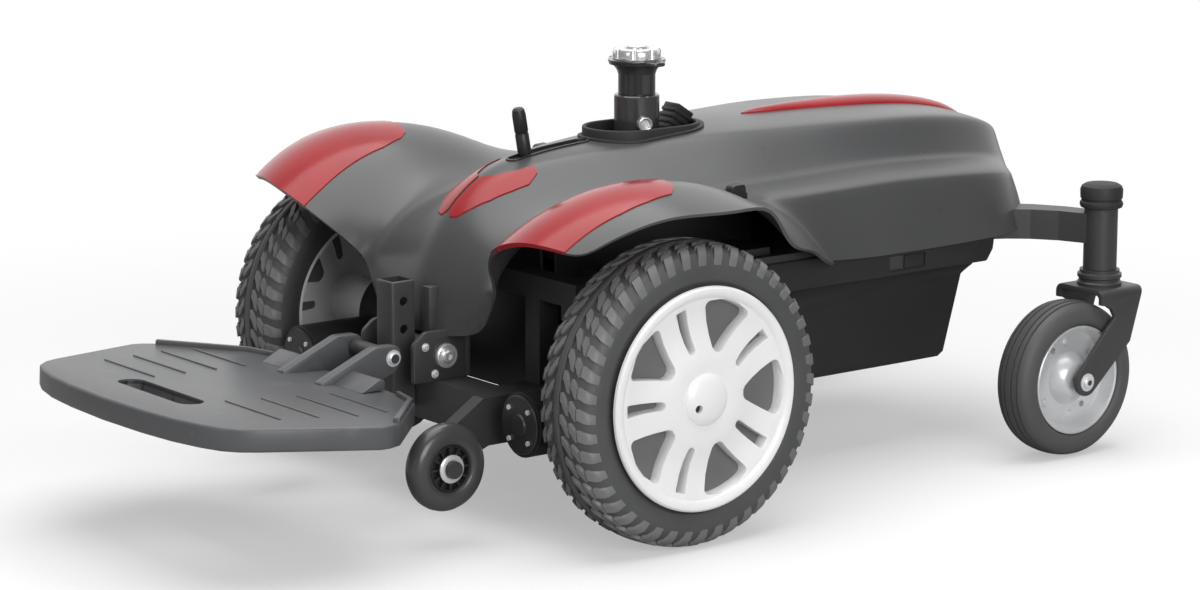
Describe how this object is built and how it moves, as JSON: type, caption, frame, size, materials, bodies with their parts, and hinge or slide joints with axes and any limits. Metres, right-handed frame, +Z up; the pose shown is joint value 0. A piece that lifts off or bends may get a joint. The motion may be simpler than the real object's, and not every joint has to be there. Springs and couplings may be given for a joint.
{
  "type": "electric wheelchair power base",
  "caption": "Power base of an electric wheelchair: moulded shroud over a steel frame, drive wheels, swivel casters, anti-tip wheels, fold-up footplate and a seat post.",
  "frame": {"origin": "on the floor, at the bottom centre of the box round the whole base", "axes": "+Z up, -Y towards the footplate at the front, +X towards the chair's left side"},
  "size_m": [0.682, 1.1841, 0.47],
  "materials": {
    "frame_steel": "black powder coat",
    "post_steel": "black gloss paint",
    "bright_steel": "bright plated",
    "shroud_plastic": "fine moulded grain",
    "red_lens": "translucent gloss",
    "black_rubber": "matte",
    "black_plastic": "satin",
    "footplate_plastic": "moulded grain",
    "tub_plastic": "moulded grain",
    "battery_case": "moulded",
    "motor_housing": "black satin paint",
    "drive_tyre": "matte",
    "silver_rim": "silver lacquer",
    "caster_tyre": "matte",
    "zinc_rim": "zinc plated",
    "anti_tip_tyre": "smooth",
    "core_plastic": "moulded"
  },
  "bodies": {
    "chassis": {"main_frame": "frame_steel", "footrest_bracket": "frame_steel", "footrest_tube": "frame_steel", "seat_sleeve": "post_steel", "hood": "shroud_plastic", "spine_lens": "red_lens", "post_collar": "black_rubber", "slot_plate": "black_plastic", "release_lever": "black_plastic", "harness_connector": "black_plastic", "battery_box": "tub_plastic", "battery_pack": "battery_case", "fender_left": "shroud_plastic", "fender_lens_left": "red_lens", "nose_lens_left": "red_lens", "side_latch_left": "black_plastic", "drive_motor_left": "motor_housing", "rear_arm_left": "frame_steel", "barrel_cap_left": "black_rubber", "anti_tip_arm_left": "frame_steel", "fender_right": "shroud_plastic", "fender_lens_right": "red_lens", "nose_lens_right": "red_lens", "side_latch_right": "black_plastic", "drive_motor_right": "motor_housing", "rear_arm_right": "frame_steel", "barrel_cap_right": "black_rubber", "anti_tip_arm_right": "frame_steel"},
    "footplate": {"footplate": "footplate_plastic"},
    "seat_post": {"seat_post": "post_steel", "seat_head": "bright_steel"},
    "drive_wheel_left": {"drive_tyre_left": "drive_tyre", "drive_rim_left": "silver_rim"},
    "caster_swivel_left": {"caster_fork_left": "frame_steel"},
    "caster_wheel_left": {"caster_tyre_left": "caster_tyre", "caster_rim_left": "zinc_rim"},
    "anti_tip_wheel_left": {"anti_tip_tyre_left": "anti_tip_tyre", "anti_tip_core_left": "core_plastic"},
    "drive_wheel_right": {"drive_tyre_right": "drive_tyre", "drive_rim_right": "silver_rim"},
    "caster_swivel_right": {"caster_fork_right": "frame_steel"},
    "caster_wheel_right": {"caster_tyre_right": "caster_tyre", "caster_rim_right": "zinc_rim"},
    "anti_tip_wheel_right": {"anti_tip_tyre_right": "anti_tip_tyre", "anti_tip_core_right": "core_plastic"}
  },
  "joints": [
    {"name": "footplate_fold", "type": "hinge", "parent": "chassis", "child": "footplate", "pos_m": [0, -0.2669, 0.176], "axis": [-1, 0, 0], "range_deg": [0, 90]},
    {"name": "seat_post_height", "type": "slide", "parent": "chassis", "child": "seat_post", "axis": [0, 0, 1], "range_m": [0, 0.05]},
    {"name": "drive_wheel_left_spin", "type": "hinge", "parent": "chassis", "child": "drive_wheel_left", "pos_m": [0.29, -0.0809, 0.159], "axis": [1, 0, 0], "continuous": true},
    {"name": "caster_left_swivel", "type": "hinge", "parent": "chassis", "child": "caster_swivel_left", "pos_m": [0.256, 0.5551, 0.22], "axis": [0, 0, 1], "continuous": true},
    {"name": "caster_wheel_left_spin", "type": "hinge", "parent": "caster_swivel_left", "child": "caster_wheel_left", "pos_m": [0.256, 0.5031, 0.089], "axis": [1, 0, 0], "continuous": true},
    {"name": "anti_tip_wheel_left_spin", "type": "hinge", "parent": "chassis", "child": "anti_tip_wheel_left", "pos_m": [0.163, -0.2859, 0.086], "axis": [1, 0, 0], "continuous": true},
    {"name": "drive_wheel_right_spin", "type": "hinge", "parent": "chassis", "child": "drive_wheel_right", "pos_m": [-0.29, -0.0809, 0.159], "axis": [1, 0, 0], "continuous": true},
    {"name": "caster_right_swivel", "type": "hinge", "parent": "chassis", "child": "caster_swivel_right", "pos_m": [-0.256, 0.5551, 0.22], "axis": [0, 0, 1], "continuous": true},
    {"name": "caster_wheel_right_spin", "type": "hinge", "parent": "caster_swivel_right", "child": "caster_wheel_right", "pos_m": [-0.256, 0.5031, 0.089], "axis": [1, 0, 0], "continuous": true},
    {"name": "anti_tip_wheel_right_spin", "type": "hinge", "parent": "chassis", "child": "anti_tip_wheel_right", "pos_m": [-0.163, -0.2859, 0.086], "axis": [1, 0, 0], "continuous": true}
  ]
}
